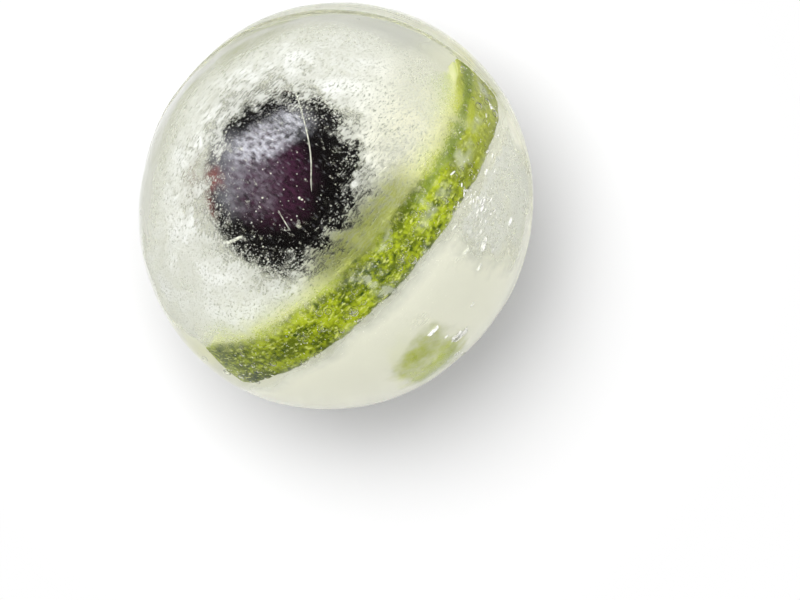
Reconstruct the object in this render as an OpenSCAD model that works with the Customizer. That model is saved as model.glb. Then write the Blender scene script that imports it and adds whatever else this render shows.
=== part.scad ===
// Ball of clear ice with a cloudy core, and a dark grape, a curved strip of lime and a lime chip frozen into it.
// Millimetres. The ball stands on the plane z = 0 on a small melted flat, with +Z up.

/* [Ice ball] */
// Width and height of the round ball, before its foot melted flat
ball_w = 60; // [54:0.5:75]
// How much longer than wide the ball froze
ball_stretch = 3; // [0.5:0.1:8]
// Heading of its long way, counted from +X
ball_heading = 65; // [0:1:359]
// Width of the melted flat that the ball rests on
foot_w = 20; // [12:0.5:28]
// Height of the ridge that the mould's seam left round the ball
seam_h = 0.4; // [0.1:0.1:1]
// Width of that ridge
seam_w = 0.8; // [0.4:0.1:2]
// How far the seam is tilted from level
seam_tilt = 20; // [0:1:40]
// Heading in which the seam rises, counted from +X
seam_heading = 68; // [0:1:359]

/* [Cloudy core] */
// Clear ice between the cloudy core and the lime strip
core_gap = 1; // [0.5:0.1:3]
// Height above the ball's middle up to which the ice is cloudy
core_rise = 6; // [2:0.1:9]

/* [Dark grape] */
// Width of the grape
grape_d = 20; // [17:0.1:23]
// How much longer than wide the grape is
grape_stretch = 3.2; // [0.5:0.1:6]
// Thickness of its skin
skin_t = 0.4; // [0.2:0.05:0.8]
// Radius of the round hollow that its stalk left
stalk_hollow_r = 2.4; // [1.5:0.1:4]
// Depth of that hollow
stalk_hollow_depth = 0.9; // [0.4:0.1:1.4]
// Place of the grape along X, from the ball's middle
grape_x = -5.7; // [-7:0.1:-3]
// Place of the grape along Y, from the ball's middle
grape_y = 2.9; // [0:0.1:4]
// Height of the grape above the ball's middle
grape_rise = 2; // [0:0.1:4]
// Heading of its stalk end, counted from +X
grape_heading = 94; // [0:1:359]
// How far its stalk end is lifted
grape_lift = 8; // [-30:1:30]
// Length of a pip
pip_l = 6.4; // [5:0.1:8]
// Width of a pip
pip_d = 3.4; // [2.5:0.1:4]
// Distance between the middles of the two pips
pip_spacing = 4.6; // [4.2:0.1:6]

/* [Lime] */
// Diameter of the lime that the strip and the chip were cut from
lime_d = 52; // [49:0.5:54]
// Thickness of the green rind
rind_t = 1.5; // [1:0.1:2.2]
// Thickness of the pale pith
pith_t = 2; // [1.2:0.1:2.6]
// Thickness of the walls between the segments
membrane_t = 0.7; // [0.4:0.05:1.2]

/* [Lime strip] */
// Width of the strip
strip_w = 7.6; // [6:0.1:10]
// Arc of the lime that the strip covers
strip_sweep = 174; // [150:1:180]
// Depth of juicy flesh left on the strip
strip_flesh_t = 2.5; // [1.5:0.1:3]
// Segments of the lime that the strip crosses
segment_count = 5; // [4:1:6]
// Heading of the line between its two ends, counted from +X
strip_heading = 49; // [0:1:90]
// How far the arch leans over from upright
strip_lean = 21; // [10:1:30]
// Distance of the strip's middle plane from the ball's middle
strip_offset = 2.3; // [1:0.1:4]

/* [Lime chip] */
// Length of the chip along the lime's round
chip_l = 7; // [6:0.1:10]
// Width of the chip
chip_w = 5.6; // [5:0.1:8]
// Depth of flesh left on the chip
chip_flesh_t = 1.8; // [1:0.1:2.5]
// Heading of the chip from the ball's axis, counted from +X
chip_heading = -60; // [-70:1:-45]
// Distance of the chip's rind from the ball's axis
chip_reach = 21; // [18:0.1:22]
// Height of the chip's rind below the ball's middle
chip_drop = 4; // [2:0.1:6]
// How far its rind is tipped outwards from facing straight up
chip_tip = 35; // [0:1:45]
// Turn of the chip on its own rind
chip_turn = 20; // [-45:1:45]

/* [Hidden] */
$fn = 96;

ball_l = ball_w + ball_stretch;
// Height of the ball's middle above the plane that it rests on
ball_z = sqrt(pow(ball_w / 2, 2) - pow(foot_w / 2, 2));
// A block this large reaches past the whole ball
block = 2 * ball_l;

grape_l = grape_d + grape_stretch;

lime_r = lime_d / 2;
pith_r = lime_r - rind_t;
flesh_r = pith_r - pith_t;
strip_inner_r = flesh_r - strip_flesh_t;

core_r = strip_inner_r - core_gap;

// The membranes are radial walls, as wide as membrane_t halfway through the flesh
membrane_angle = membrane_t / (flesh_r - strip_flesh_t / 2) * 180 / PI;
segment_angle = (strip_sweep - (segment_count - 1) * membrane_angle) / segment_count;
segment_pitch = segment_angle + membrane_angle;

chip_sweep = chip_l / lime_r * 180 / PI;
chip_inner_r = flesh_r - chip_flesh_t;

// A round body that is longer along its own Z axis than it is wide
module oval_body(width, length) {
    scale([1, 1, length / width])
        sphere(d = width);
}

// The ball's body, swollen all over by outset: two spheres that lie almost in one place
module ball_body(outset = 0) {
    translate([0, 0, ball_z])
        rotate([0, 0, ball_heading])
            for (end = [-1, 1])
                translate([end * ball_stretch / 2, 0, 0])
                    sphere(ball_w / 2 + outset);
}

// The ridge that stands out of the ball along the seam of its mould
module seam_ridge() {
    intersection() {
        ball_body(seam_h);
        translate([0, 0, ball_z])
            rotate([0, -seam_tilt, seam_heading])
                cube([block, block, seam_w], center = true);
    }
}

// The space of the cloudy core: a ball about the middle that ends level under the top of the grape
module core_body() {
    intersection() {
        translate([0, 0, ball_z])
            sphere(core_r);
        translate([-block / 2, -block / 2, ball_z + core_rise - block])
            cube(block);
    }
}

// Places the grape, whose long axis is its own +Z with the stalk end up
module at_grape() {
    translate([grape_x, grape_y, ball_z + grape_rise])
        rotate([0, 90 - grape_lift, grape_heading])
            children();
}

// The grape's round body with its stalk hollow, drawn in all over by inset
module grape_body(inset = 0) {
    difference() {
        oval_body(grape_d - 2 * inset, grape_l - 2 * inset);
        translate([0, 0, grape_l / 2 - stalk_hollow_depth + stalk_hollow_r])
            sphere(stalk_hollow_r + inset);
    }
}

module pips() {
    for (side = [-1, 1])
        translate([side * pip_spacing / 2, 0, 0])
            oval_body(pip_d, pip_l);
}

// Places the lime strip, an arc about its own Z axis
module at_strip() {
    translate([0, 0, ball_z])
        rotate([90 + strip_lean, 0, strip_heading])
            translate([0, 0, strip_offset])
                rotate([0, 0, (180 - strip_sweep) / 2])
                    children();
}

// Places the chip with its rind at the ball's lower wall, as an arc about its own Z axis
module at_chip() {
    translate([0, 0, ball_z - chip_drop])
        rotate([0, 0, chip_heading])
            translate([chip_reach, 0, 0])
                rotate([0, chip_tip - 90, 0])
                    rotate([chip_turn, 0, 0])
                        translate([-lime_r, 0, 0])
                            rotate([0, 0, -chip_sweep / 2])
                                children();
}

// One layer of a slice of the lime: an arc from inner_r to outer_r, as wide as the slice
module lime_layer(inner_r, outer_r, width, sweep) {
    rotate_extrude(angle = sweep)
        intersection() {
            circle(lime_r);
            translate([inner_r, -width / 2])
                square([outer_r - inner_r, width]);
        }
}

module ice_ball() {
    color([0.87, 0.91, 0.89, 0.4])
        difference() {
            union() {
                ball_body();
                seam_ridge();
            }
            translate([-block / 2, -block / 2, -block])
                cube(block);
            core_body();
            at_grape()
                grape_body();
            at_strip()
                lime_layer(strip_inner_r, lime_r, strip_w, strip_sweep);
            at_chip()
                lime_layer(chip_inner_r, lime_r, chip_w, chip_sweep);
        }
}

module cloudy_core() {
    color([0.95, 0.96, 0.92])
        difference() {
            core_body();
            at_grape()
                grape_body();
            at_chip()
                lime_layer(chip_inner_r, lime_r, chip_w, chip_sweep);
        }
}

module grape_skin() {
    color([0.16, 0.09, 0.17])
        at_grape()
            difference() {
                grape_body();
                grape_body(skin_t);
            }
}

module grape_flesh() {
    color([0.45, 0.22, 0.32])
        at_grape()
            difference() {
                grape_body(skin_t);
                pips();
            }
}

module grape_pips() {
    color([0.42, 0.3, 0.18])
        at_grape()
            pips();
}

module lime_rind() {
    color([0.45, 0.6, 0.06])
        at_strip()
            lime_layer(pith_r, lime_r, strip_w, strip_sweep);
}

module lime_pith() {
    color([0.93, 0.94, 0.72])
        at_strip()
            lime_layer(flesh_r, pith_r, strip_w, strip_sweep);
}

module lime_membranes() {
    color([0.88, 0.91, 0.68])
        at_strip()
            for (i = [1 : segment_count - 1])
                rotate([0, 0, i * segment_pitch - membrane_angle])
                    lime_layer(strip_inner_r, flesh_r, strip_w, membrane_angle);
}

module lime_segment(i) {
    color([0.74, 0.82, 0.42])
        at_strip()
            rotate([0, 0, (i - 1) * segment_pitch])
                lime_layer(strip_inner_r, flesh_r, strip_w, segment_angle);
}

module chip_rind() {
    color([0.5, 0.62, 0.15])
        at_chip()
            lime_layer(pith_r, lime_r, chip_w, chip_sweep);
}

module chip_pith() {
    color([0.93, 0.94, 0.72])
        at_chip()
            lime_layer(flesh_r, pith_r, chip_w, chip_sweep);
}

module chip_flesh() {
    color([0.74, 0.82, 0.42])
        at_chip()
            lime_layer(chip_inner_r, flesh_r, chip_w, chip_sweep);
}

ice_ball();
cloudy_core();
grape_skin();
grape_flesh();
grape_pips();
lime_rind();
lime_pith();
lime_membranes();
for (i = [1 : segment_count])
    lime_segment(i);
chip_rind();
chip_pith();
chip_flesh();
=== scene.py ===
"""A ball of ice with a cloudy core, and a dark grape, a strip of lime and a lime chip frozen into it."""

import math

import bpy
import numpy as np
from bpy.props import FloatProperty, FloatVectorProperty, IntProperty, PointerProperty
from mathutils import Euler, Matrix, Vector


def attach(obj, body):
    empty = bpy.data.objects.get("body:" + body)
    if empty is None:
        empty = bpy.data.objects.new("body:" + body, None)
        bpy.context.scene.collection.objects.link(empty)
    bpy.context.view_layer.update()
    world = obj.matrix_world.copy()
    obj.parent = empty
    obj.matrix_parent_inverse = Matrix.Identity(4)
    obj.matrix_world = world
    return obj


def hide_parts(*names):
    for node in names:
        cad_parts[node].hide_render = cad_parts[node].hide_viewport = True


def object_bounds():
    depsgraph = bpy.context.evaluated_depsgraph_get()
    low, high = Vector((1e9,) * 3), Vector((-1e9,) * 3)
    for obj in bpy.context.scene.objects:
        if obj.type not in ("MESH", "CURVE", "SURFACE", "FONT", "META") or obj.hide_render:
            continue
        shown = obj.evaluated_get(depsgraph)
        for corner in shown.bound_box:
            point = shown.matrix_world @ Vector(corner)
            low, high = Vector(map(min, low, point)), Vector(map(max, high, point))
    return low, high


bl_info = {
    "name": "Ice Ball with Frozen Fruit",
    "version": (1, 0, 0),
    "blender": (4, 5, 0),
    "location": "3D View > Sidebar > Ice Ball",
    "description": "Dresses a ball of ice that holds a dark grape, a strip of lime and a chip of lime",
    "category": "Object",
}

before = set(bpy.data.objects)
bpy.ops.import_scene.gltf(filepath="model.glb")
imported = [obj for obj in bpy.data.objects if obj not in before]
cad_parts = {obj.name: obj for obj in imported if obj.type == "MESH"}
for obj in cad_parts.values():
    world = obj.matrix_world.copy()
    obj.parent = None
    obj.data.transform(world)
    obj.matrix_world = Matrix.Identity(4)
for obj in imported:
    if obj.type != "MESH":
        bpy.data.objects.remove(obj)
CAD_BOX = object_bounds()

MM = 0.001
# Seed of every draw, so that each run freezes the same bubbles and ripples
SEED = 11
# Refractive index of ice
ICE_IOR = 1.31
# Refractive index of wet fruit against the ice that it is frozen into, rather than against air
FRUIT_IOR = 1.4 / ICE_IOR
# Brightness of the white ground and room where they are seen through ice
THROUGH_ICE = 0.81


def linear(code):
    """An sRGB hex colour as linear red, green and blue."""
    levels = [int(code[i:i + 2], 16) / 255 for i in (1, 3, 5)]
    return tuple(v / 12.92 if v <= 0.04045 else ((v + 0.055) / 1.055) ** 2.4 for v in levels)


def rgba(colour):
    """A hex code, or a linear colour, with full alpha as a colour socket takes it."""
    return (*(linear(colour) if isinstance(colour, str) else colour), 1.0)


def per(size):
    """Texture scale whose pattern repeats about once in a size in metres."""
    return 1.0 / size


# Settings that a user would change

def a_length(name, about, millimetres):
    """A length as a setting."""
    return FloatProperty(name=name, description=about, default=millimetres * MM, unit="LENGTH")


def an_angle(name, about, degrees):
    """An angle as a setting."""
    return FloatProperty(name=name, description=about, default=math.radians(degrees), subtype="ANGLE")


def a_colour(name, about, code):
    """A colour as a setting, from its hex code."""
    return FloatVectorProperty(name=name, description=about, default=linear(code), subtype="COLOR")


def a_count(name, about, count):
    """A count as a setting."""
    return IntProperty(name=name, description=about, default=count)


def a_power(name, about, watts):
    """The power of a lamp as a setting."""
    return FloatProperty(name=name, description=about, default=watts, unit="POWER")


class IceSettings(bpy.types.PropertyGroup):
    """Sizes and colours of the ball of ice."""

    width: a_length("Width", "Width and height of the round ball", 60)
    stretch: a_length("Stretch", "How much longer than wide the ball froze", 3)
    heading: an_angle("Heading", "Heading of its long way from +X", 65)
    foot_rounding: a_length("Foot rounding", "Height over which the melted flat rounds into the ball", 0.5)
    seam_tilt: an_angle("Seam tilt", "How far the seam is tilted from level", 20)
    seam_heading: an_angle("Seam heading", "Heading in which the seam rises", 68)
    seam_height: a_length("Seam height", "Height of the ridge on the seam", 0.13)
    seam_width: a_length("Seam width", "Width of that ridge", 1.4)
    seam_hollow: a_length("Seam hollow", "Depth of the shallow hollow above the ridge", 0.12)
    free_bubbles: a_count("Free bubbles", "Air bubbles that froze in the open ice", 150)
    fruit_bubbles: a_count("Fruit bubbles", "Air bubbles that cling to the fruit", 260)
    specks: a_count("Specks", "Fine white air specks that cloud the core", 49000)
    skin_specks: a_count("Skin specks", "Fine white air specks just under the skin", 4000)
    rind_specks: a_count("Rind specks", "Fine white air specks on the lime strip's rind", 160)
    tint: a_colour("Tint", "Colour of the clear ice", "#e8eadd")
    frost: a_colour("Frost", "Colour of the frost", "#f6f8f4")


class GrapeSettings(bpy.types.PropertyGroup):
    """Sizes and colours of the dark grape."""

    width: a_length("Width", "Width of the grape", 20)
    stretch: a_length("Stretch", "How much longer than wide the grape is", 3.2)
    skin: a_length("Skin", "Thickness of its skin", 0.4)
    place: FloatVectorProperty(
        name="Place", description="Place of the grape from the ball's middle",
        default=(-5.7 * MM, 2.9 * MM, 2 * MM), subtype="TRANSLATION", unit="LENGTH")
    heading: an_angle("Heading", "Heading of its stalk end", 94)
    lift: an_angle("Lift", "How far its stalk end is lifted", 8)
    hollow_radius: a_length("Stalk hollow radius", "Radius of the hollow that the stalk left", 1.9)
    hollow_depth: a_length("Stalk hollow depth", "Depth of that hollow", 0.9)
    dark: a_colour("Dark", "Nearly black skin", "#0d0a0c")
    # Purple and red are painted as a glow of light shining through the skin on its lit side
    purple: a_colour("Purple", "Purple side of the skin", "#46263e")
    red: a_colour("Red", "Red patch on the skin", "#99504c")
    # The bloom colour also paints the highlight band and the sheen on the grape's lit left side
    bloom: a_colour("Bloom", "Waxy bloom on the skin", "#d2d1e4")


class LimeSettings(bpy.types.PropertyGroup):
    """Sizes and colours of the strip and the chip of lime."""

    diameter: a_length("Diameter", "Diameter of the lime that they were cut from", 52)
    rind: a_length("Rind", "Thickness of the green rind", 1.5)
    pith: a_length("Pith", "Thickness of the pale pith", 2)
    membrane: a_length("Membrane", "Thickness of the walls between segments", 0.7)
    segments: a_count("Segments", "Segments that the strip crosses", 5)
    strip_width: a_length("Strip width", "Width of the strip", 7.6)
    strip_sweep: an_angle("Strip sweep", "Arc of the lime that the strip covers", 174)
    strip_flesh: a_length("Strip flesh", "Depth of flesh left on the strip", 2.5)
    strip_heading: an_angle("Strip heading", "Heading of the line between its ends", 49)
    strip_lean: an_angle("Strip lean", "How far the arch leans over", 21)
    strip_offset: a_length("Strip offset", "Distance of its middle plane from the ball's middle", 2.3)
    chip_length: a_length("Chip length", "Length of the chip along the lime's round", 7)
    chip_width: a_length("Chip width", "Width of the chip", 5.6)
    chip_flesh: a_length("Chip flesh", "Depth of flesh left on the chip", 1.8)
    chip_heading: an_angle("Chip heading", "Heading of the chip from the ball's axis", -60)
    chip_reach: a_length("Chip reach", "Distance of its rind from the ball's axis", 21)
    chip_drop: a_length("Chip drop", "Height of its rind below the ball's middle", 4)
    chip_tip: an_angle("Chip tip", "How far its rind is tipped outwards", 35)
    chip_turn: an_angle("Chip turn", "Turn of the chip on its own rind", 20)
    green: a_colour("Green", "Green of the rind", "#bac92a")
    deep_green: a_colour("Deep green", "Deeper green of the rind", "#2a4400")
    pale: a_colour("Pith colour", "Pale pith", "#eef0a8")
    juice: a_colour("Flesh colour", "Juicy flesh", "#c3d26a")


class StageSettings(bpy.types.PropertyGroup):
    """Camera, floor and light."""

    camera_x: a_length("Camera X", "The camera looks straight down over this point", 9.88)
    camera_y: a_length("Camera Y", "The camera looks straight down over this point", -14.46)
    camera_height: a_length("Camera height", "Height above the ball's middle", 700)
    view_width: a_length("View width", "Width of the picture at the ball's middle", 123.08)
    key_power: a_power("Key power", "Power of the soft lamp", 3.9)
    key_size: a_length("Key size", "Side of the soft lamp", 440)
    key_rise: an_angle("Key rise", "Height of the soft lamp as an angle", 69)
    card_power: a_power("Card power", "Power of the bright card that glints in the ice", 1.7)
    card_rise: an_angle("Card rise", "Height of that card as an angle", 30)
    side_power: a_power("Side power", "Power of the weak lamp on the other side", 0.34)
    side_rise: an_angle("Side rise", "Height of that lamp as an angle", 42)
    side_heading: an_angle("Side heading", "Heading of that lamp from +X", -8)
    lamp_distance: a_length("Lamp distance", "Distance of the lamp and the card", 650)
    lamp_heading: an_angle("Lamp heading", "Heading of the lamp and the card from +X", 131)
    fill: FloatProperty(name="Fill", description="Strength of the even light all round", default=0.56)


# Surfaces

def turned(x=0.0, y=0.0, z=0.0):
    """Rotation about X, then Y, then Z, by angles in radians."""
    return np.array(Euler((x, y, z), "XYZ").to_matrix())


def unit(vectors):
    """Vectors along the last axis, each brought to length 1."""
    return vectors / np.linalg.norm(vectors, axis=-1, keepdims=True)


def drawn_ways(draws, count):
    """Drawn directions, spread evenly all round."""
    return unit(draws.normal(size=(count, 3)))


def smooth_step(values, low, high):
    """Share from 0 at low to 1 at high, level at both ends."""
    share = np.clip((values - low) / (high - low), 0, 1)
    return share * share * (3 - 2 * share)


def polar_grid(polar, columns):
    """Unit directions in rows of polar angle by columns of azimuth, of the shape (rows, columns, 3)."""
    polar = polar[:, None]
    azimuth = np.linspace(0, 2 * math.pi, columns, endpoint=False)[None]
    across, up = np.sin(polar), np.cos(polar) + 0 * azimuth
    return np.stack([across * np.cos(azimuth), across * np.sin(azimuth), up], -1)


def closed_skin(rings):
    """Faces of a closed skin over rows of rings, as points and a list of faces.

    The rings have the shape (rows, columns, 3). Neighbouring rows are joined by quads, and the first and
    the last row each close on one point, the mean of the row.
    """
    rows, columns = rings.shape[:2]
    points = np.vstack([rings[0].mean(0)[None], rings.reshape(-1, 3), rings[-1].mean(0)[None]])
    here = 1 + np.arange(rows * columns).reshape(rows, columns)
    after = np.roll(here, -1, axis=1)
    quads = np.stack([here[:-1], here[1:], after[1:], after[:-1]], -1).reshape(-1, 4)
    first = np.stack([np.zeros(columns, int), here[0], after[0]], -1)
    last = np.stack([np.full(columns, len(points) - 1), after[-1], here[-1]], -1)
    tris = np.vstack([first, last])
    corners = points[np.vstack([quads[:, :3], quads[:, [0, 2, 3]], tris])]
    volume = np.einsum("ij,ij->i", corners[:, 0], np.cross(corners[:, 1], corners[:, 2])).sum()
    if volume < 0:
        quads, tris = quads[:, ::-1], tris[:, ::-1]
    return points, quads.tolist() + tris.tolist()


def join_skins(skins):
    """Several (points, faces) skins as one."""
    points, faces, start = [], [], 0
    for skin_points, skin_faces in skins:
        points.append(skin_points)
        faces += [[start + i for i in face] for face in skin_faces]
        start += len(skin_points)
    return np.vstack(points), faces


def make_piece(name, skin, materials, replaced=(), places=None, face_materials=None):
    """A finished object from a skin: smooth, at the origin, riding on the ball's body."""
    points, faces = skin
    mesh = bpy.data.meshes.new(name)
    mesh.from_pydata(points, [], faces)
    mesh.polygons.foreach_set("use_smooth", np.ones(len(faces), bool))
    for material in materials:
        mesh.materials.append(material)
    if face_materials is not None:
        mesh.polygons.foreach_set("material_index", face_materials)
    if places is not None:
        attribute = mesh.attributes.new("lime_place", "FLOAT_VECTOR", "POINT")
        attribute.data.foreach_set("vector", places.astype(np.float32).ravel())
    mesh.update()
    piece = bpy.data.objects.new(name, mesh)
    bpy.context.scene.collection.objects.link(piece)
    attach(piece, "root")
    if replaced:
        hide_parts(*replaced)
    return piece


def ball_middle():
    """The middle of the ball, half its width below its top."""
    return np.array([0.0, 0.0, CAD_BOX[1].z - bpy.context.scene.ice.width / 2])


def seam_turn(ice):
    """Rotation that lays the level plane onto the seam's plane."""
    return turned(y=-ice.seam_tilt, z=ice.seam_heading)


def ripple(directions, radius, waves, draws):
    """Height of slow ripples on a ball: for each (length, height), sines along a few drawn axes."""
    axes_each = 5
    height = np.zeros(directions.shape[:-1])
    for length, size in waves:
        axes = drawn_ways(draws, axes_each)
        phases = draws.uniform(0, 2 * math.pi, axes_each)
        along = directions @ axes.T * (2 * math.pi * radius / length) + phases
        height += np.sin(along).sum(-1) * size / math.sqrt(axes_each)
    return height


def oval_radius(directions, ice):
    """Distance from the middle to the skin of the plain oval.

    It is 1 over the root of (along / half length) squared plus (across / half width) squared.
    """
    long_way = np.array([math.cos(ice.heading), math.sin(ice.heading), 0.0])
    along = (directions @ long_way) ** 2
    return 1 / np.sqrt(along / ((ice.width + ice.stretch) / 2) ** 2 + (1 - along) / (ice.width / 2) ** 2)


# Length and height of the ripples that melting left
MELT_WAVES = ((40 * MM, 0.10 * MM), (16 * MM, 0.06 * MM), (7 * MM, 0.02 * MM), (3.4 * MM, 0.006 * MM))
# Half of the seam's strip of close rows, and rows in that strip and beyond it
SEAM_STRIP = math.radians(3)
SEAM_ROWS = 44
CAP_ROWS = 106
BALL_COLUMNS = 300
# How far the hollow beside the seam reaches
HOLLOW_REACH = 2.6 * MM


def ball_rings(ice):
    """The ball's skin on a grid of latitude above the seam and azimuth round it.

    The distance from the middle is the oval's, plus slow ripples from melting, plus a bell-shaped ridge on
    the seam and a hollow above it that fades with height. Points under the table are pressed up to it, with
    a rounded edge.
    """
    cap = np.linspace(math.pi / 2, SEAM_STRIP, CAP_ROWS)[1:]
    strip = np.linspace(SEAM_STRIP, -SEAM_STRIP, SEAM_ROWS)[1:-1]
    latitude = np.concatenate([cap, strip, -cap[::-1]])
    directions = polar_grid(math.pi / 2 - latitude, BALL_COLUMNS) @ seam_turn(ice).T
    draws = np.random.default_rng(SEED)
    radius = oval_radius(directions, ice)
    above = radius * latitude[:, None]
    radius = radius + ripple(directions, ice.width / 2, MELT_WAVES, draws)
    radius += ice.seam_height * np.exp(-(above / (ice.seam_width / 2)) ** 2)
    radius -= ice.seam_hollow * np.exp(-((above - HOLLOW_REACH) / HOLLOW_REACH) ** 2)
    points = directions * radius[..., None] + ball_middle()
    height, edge = points[..., 2], ice.foot_rounding
    rounded = np.where(height < -edge, 0, (height + edge) ** 2 / (4 * edge))
    points[..., 2] = np.where(height > edge, height, rounded)
    return points


BUBBLE_ROWS = 5
BUBBLE_COLUMNS = 10
# Least and largest reach of a speck's tips, as shares of its radius
SPECK_TIPS = (0.7, 1.3)


def bubble_skins(middles, radii):
    """Small round hollows: one ball's few rings of points, scaled and moved for each bubble."""
    points, faces = closed_skin(polar_grid(np.linspace(0, math.pi, BUBBLE_ROWS + 2)[1:-1], BUBBLE_COLUMNS))
    points[0], points[-1] = (0, 0, 1), (0, 0, -1)
    every = middles[:, None] + radii[:, None, None] * points[None]
    starts = np.arange(len(middles)) * len(points)
    inward = [[start + i for i in reversed(face)] for start in starts.tolist() for face in faces]
    return every.reshape(-1, 3), inward


def speck_skin(middles, radii, draws):
    """Small grains, each an eight-sided double pyramid whose six tips are drawn in or out a little."""
    tips = np.array([(1, 0, 0), (-1, 0, 0), (0, 1, 0), (0, -1, 0), (0, 0, 1), (0, 0, -1)], float)
    faces = np.array([(0, 2, 4), (2, 1, 4), (1, 3, 4), (3, 0, 4),
                      (2, 0, 5), (1, 2, 5), (3, 1, 5), (0, 3, 5)])
    reach = radii[:, None, None] * draws.uniform(*SPECK_TIPS, (len(radii), len(tips), 1))
    starts = len(tips) * np.arange(len(middles))[:, None, None]
    return (middles[:, None] + reach * tips).reshape(-1, 3), (starts + faces).reshape(-1, 3).tolist()


# Lime slices

# Points along each side of a layer's section, and rows that round off and close each end
SECTION_STEPS = 14
END_ROWS = 5
# Length of the waves that the knife left, and their height as a share of the roughness
KNIFE_WAVES = ((11 * MM, 0.22), (4.5 * MM, 0.12), (1.9 * MM, 0.06))
# Cut of each layer: how much narrower than the slice, rounding of its edges, rows along the arc, roughness
RIND_CUT = (0, 0.35 * MM, 150, 0.6 * MM)
PITH_CUT = (0.2 * MM, 0.3 * MM, 150, 0.6 * MM)
SEGMENT_CUT = (0.4 * MM, 0.7 * MM, 26, 1.0 * MM)
MEMBRANE_CUT = (0.3 * MM, 0.15 * MM, 6, 0.5 * MM)
CHIP_CUT = (0, 0.4 * MM, 30, 0.8 * MM)


def lime_radii(lime):
    """Outer radius of the lime's rind, of its pith and of its flesh."""
    return lime.diameter / 2, lime.diameter / 2 - lime.rind, lime.diameter / 2 - lime.rind - lime.pith


def strip_place(lime):
    """Turn and shift of the strip's arc: stood up, leaned over, set off the middle and headed."""
    rotation = turned(x=math.pi / 2 + lime.strip_lean, z=lime.strip_heading)
    return rotation, ball_middle() + rotation @ np.array([0, 0, lime.strip_offset])


def on_strip(lime, along, across, lift):
    """Places on the strip's rind, by shares along its arc and across its width, lifted off it."""
    rotation, shift = strip_place(lime)
    angle = (math.pi - lime.strip_sweep) / 2 + along * lime.strip_sweep
    across = across * lime.strip_width
    out = np.sqrt((lime.diameter / 2) ** 2 - across ** 2) + lift
    return np.stack([out * np.cos(angle), out * np.sin(angle), across], -1) @ rotation.T + shift


def section_outline():
    """Points evenly round a square from -1 to 1, counter-clockwise."""
    side = np.linspace(-1, 1, SECTION_STEPS, endpoint=False)
    one = np.ones(SECTION_STEPS)
    sides = ((side, -one), (one, side), (-side, one), (-one, -side))
    return np.concatenate([np.stack(pair, -1) for pair in sides])


def slice_rings(lime, layer, width, start, sweep, cut, draws):
    """One layer of a slice of lime as rings along its arc, with the place of each point in the lime.

    The section is a rectangle from the layer's inner to its outer radius with rounded corners, which at the
    rind follows the lime's round. It is carried along the arc, drawn in at both ends by a quarter circle and
    closed flat there. Slow drawn waves along the arc shift the cut sides, as a knife does.
    """
    inner, outer = layer
    narrower, rounding, rows, roughness = cut
    width = width - narrower
    lime_r = lime.diameter / 2
    edge = rounding / outer
    quarter = np.linspace(0, math.pi / 2, END_ROWS)
    shrink = np.linspace(0.02, 1, END_ROWS + 1)
    end_angle = np.concatenate([np.zeros(END_ROWS), edge * (1 - np.cos(quarter))])
    end_inset = np.concatenate([np.full(END_ROWS, rounding), rounding * (1 - np.sin(quarter))])
    end_scale = np.concatenate([shrink[:-1], np.ones(END_ROWS)])
    body = np.linspace(edge, sweep - edge, rows)[1:-1]
    angle = np.concatenate([end_angle, body, sweep - end_angle[::-1]])
    inset = np.concatenate([end_inset, 0 * body, end_inset[::-1]])
    scale = np.concatenate([end_scale, 1 + 0 * body, end_scale[::-1]])
    half = np.stack([(outer - inner) / 2 - inset, width / 2 - inset], -1)[:, None]
    flat = section_outline()[None] * half
    corner = np.minimum(rounding, half * 0.95)
    core = np.clip(flat, corner - half, half - corner)
    off = flat - core
    section = core + off / np.maximum(np.linalg.norm(off, axis=-1, keepdims=True), 1e-9) * rounding
    section = np.where(np.abs(off).sum(-1, keepdims=True) > 0, section, flat) * scale[:, None, None]
    depth, across = section[..., 0] + (inner + outer) / 2, section[..., 1]
    turns = start + angle[:, None]
    share = across / (width / 2)
    for side in (-1, 1):
        for length, size in KNIFE_WAVES:
            phase = draws.uniform(0, 2 * math.pi)
            wave = np.sin(turns * outer / length * 2 * math.pi + phase) * size * roughness
            across = across + wave * np.clip(side * share, 0, 1)
    drop = lime_r - np.sqrt(lime_r ** 2 - np.minimum(across, lime_r / 2) ** 2)
    depth = depth - drop * np.clip((depth - inner) / (outer - inner), 0, 1)
    rings = np.stack([depth * np.cos(turns), depth * np.sin(turns), across], -1)
    places = np.stack([turns * lime_r + 0 * depth, across, lime_r - depth], -1)
    return rings, places


def slice_skin(lime, layer, width, start, sweep, cut, draws, place):
    """A layer of a slice turned and moved to where it froze, with a place in the lime for every point."""
    rings, places = slice_rings(lime, layer, width, start, sweep, cut, draws)
    rotation, shift = place
    skin = closed_skin(rings @ rotation.T + shift)
    return skin, np.vstack([places[0].mean(0)[None], places.reshape(-1, 3), places[-1].mean(0)[None]])


# Materials

# Settings of the nodes that are used most
TIMES = {"operation": "MULTIPLY"}
TIMES_PLUS = {"operation": "MULTIPLY_ADD"}
PLUS = {"operation": "ADD"}
MINUS = {"operation": "SUBTRACT"}
MINUS_TO_ZERO = {"operation": "SUBTRACT", "use_clamp": True}
LARGER = {"operation": "MAXIMUM"}
UNSIGNED = {"operation": "ABSOLUTE"}
DOT = {"operation": "DOT_PRODUCT"}
UNIT = {"operation": "NORMALIZE"}
LENGTH = {"operation": "LENGTH"}
SMOOTH = {"interpolation_type": "SMOOTHSTEP"}
STRETCHED = {"vector_type": "TEXTURE"}
COLOURS = {"data_type": "RGBA"}
# Sockets of a mix of two colours
SHARE, FROM, TO = 0, 6, 7


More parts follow.
